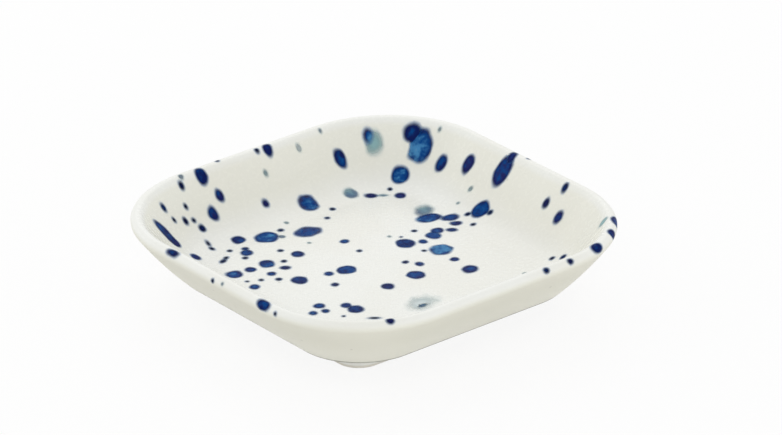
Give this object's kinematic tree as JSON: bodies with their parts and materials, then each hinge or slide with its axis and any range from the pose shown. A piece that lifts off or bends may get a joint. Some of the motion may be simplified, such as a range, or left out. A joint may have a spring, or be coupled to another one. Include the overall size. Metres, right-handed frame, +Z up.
{
  "type": "soy sauce dish",
  "caption": "Small square ceramic sauce dish with flared walls, rounded corners and a foot ring, white glaze and a spatter of cobalt blue drops inside.",
  "frame": {"origin": "middle of the foot ring's resting face", "axes": "+Z up, out of the dish's open top; the four sides face +X, -X, +Y and -Y"},
  "size_m": [0.09, 0.09, 0.019],
  "materials": {
    "fired_clay": "matte, fired, unglazed",
    "white_glaze": "glossy off-white glaze",
    "cobalt_glaze": "glossy cobalt blue drops in the glaze",
    "pale_cobalt_glaze": "glossy pale blue watery drops in the glaze"
  },
  "bodies": {
    "root": {"clay_body": "fired_clay", "foot_ring": "fired_clay", "inside_glaze": "white_glaze", "outside_glaze": "white_glaze", "base_glaze": "white_glaze", "cobalt_drops": "cobalt_glaze", "pale_washes": "pale_cobalt_glaze"}
  },
  "joints": []
}
